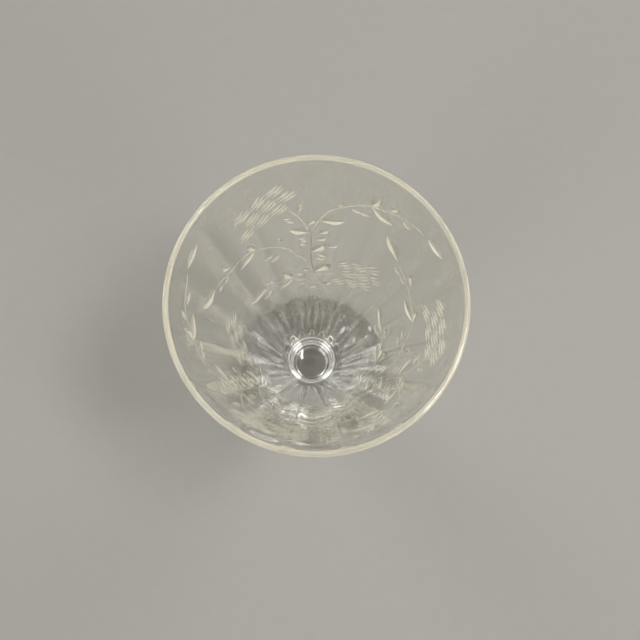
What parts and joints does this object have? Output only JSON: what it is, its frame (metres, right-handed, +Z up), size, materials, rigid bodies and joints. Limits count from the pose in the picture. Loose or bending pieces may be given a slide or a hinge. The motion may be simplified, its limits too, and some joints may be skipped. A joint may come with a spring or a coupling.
{
  "type": "iced tea glass",
  "caption": "Clear footed iced tea glass: tall conical blown bowl with a panelled optic and wheel-cut leaf sprays, on a joining wafer, a ball knop and a round foot.",
  "frame": {"origin": "middle of the resting face under the foot", "axes": "+Z up along the glass's axis, +Y through the middle of one of the bowl's inside panels"},
  "size_m": [0.086, 0.086, 0.1683],
  "materials": {
    "bowl_glass": "clear blown soda glass, fire-polished lip, grey wheel-cut sprays on the outside",
    "stem_glass": "clear solid soda glass, smooth from the fire, a little warmer where it is thick",
    "foot_glass": "clear cast soda glass, fire-polished above, with a worn resting ring below"
  },
  "bodies": {
    "root": {"bowl": "bowl_glass", "joining_wafer": "stem_glass", "ball_knop": "stem_glass", "foot": "foot_glass"}
  },
  "joints": []
}
